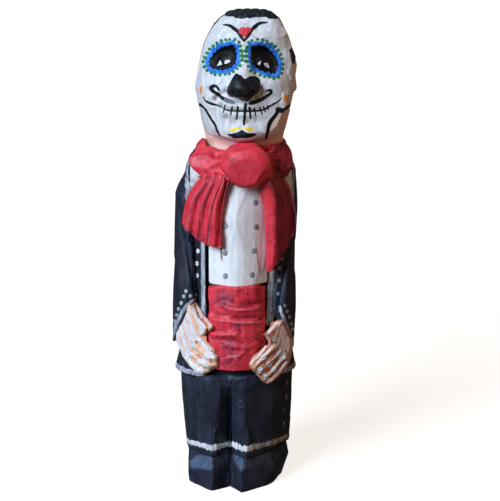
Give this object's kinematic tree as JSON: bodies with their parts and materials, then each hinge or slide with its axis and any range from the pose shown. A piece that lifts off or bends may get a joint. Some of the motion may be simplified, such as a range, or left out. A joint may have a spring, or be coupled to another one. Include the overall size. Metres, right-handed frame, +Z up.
{
  "type": "carved wooden figure",
  "caption": "Carved and painted wooden Day of the Dead figure in a black charro suit with red bow and sash and a sugar-skull face, standing on its own shoes as a holiday decoration.",
  "frame": {"origin": "on the floor, under the middle of the figure's plan box", "axes": "+Z up; the figure faces -Y; +X is the figure's own left"},
  "size_m": [0.074, 0.0686, 0.2809],
  "materials": {
    "black_paint": "satin black paint on carved wood",
    "red_paint": "satin red paint on carved wood",
    "white_paint": "satin white paint on carved wood",
    "skin_paint": "satin skin-colour paint on carved wood",
    "bare_wood": "bare turned dowel"
  },
  "bodies": {
    "root": {"head": "white_paint", "neck_dowel": "bare_wood", "neck_band": "red_paint", "bow_knot": "red_paint", "bow_knot_peg": "bare_wood", "shirt_front": "white_paint", "waist_sash": "red_paint", "jacket_trunk": "black_paint", "right_sleeve": "black_paint", "right_shoulder_dowel": "bare_wood", "right_hand": "skin_paint", "right_hand_peg": "bare_wood", "right_bow_loop": "red_paint", "right_bow_tail": "red_paint", "right_trouser_leg": "black_paint", "right_hip_dowel": "bare_wood", "right_shoe": "black_paint", "right_ankle_peg": "bare_wood", "left_sleeve": "black_paint", "left_shoulder_dowel": "bare_wood", "left_hand": "skin_paint", "left_hand_peg": "bare_wood", "left_bow_loop": "red_paint", "left_bow_tail": "red_paint", "left_trouser_leg": "black_paint", "left_hip_dowel": "bare_wood", "left_shoe": "black_paint", "left_ankle_peg": "bare_wood"}
  },
  "joints": []
}
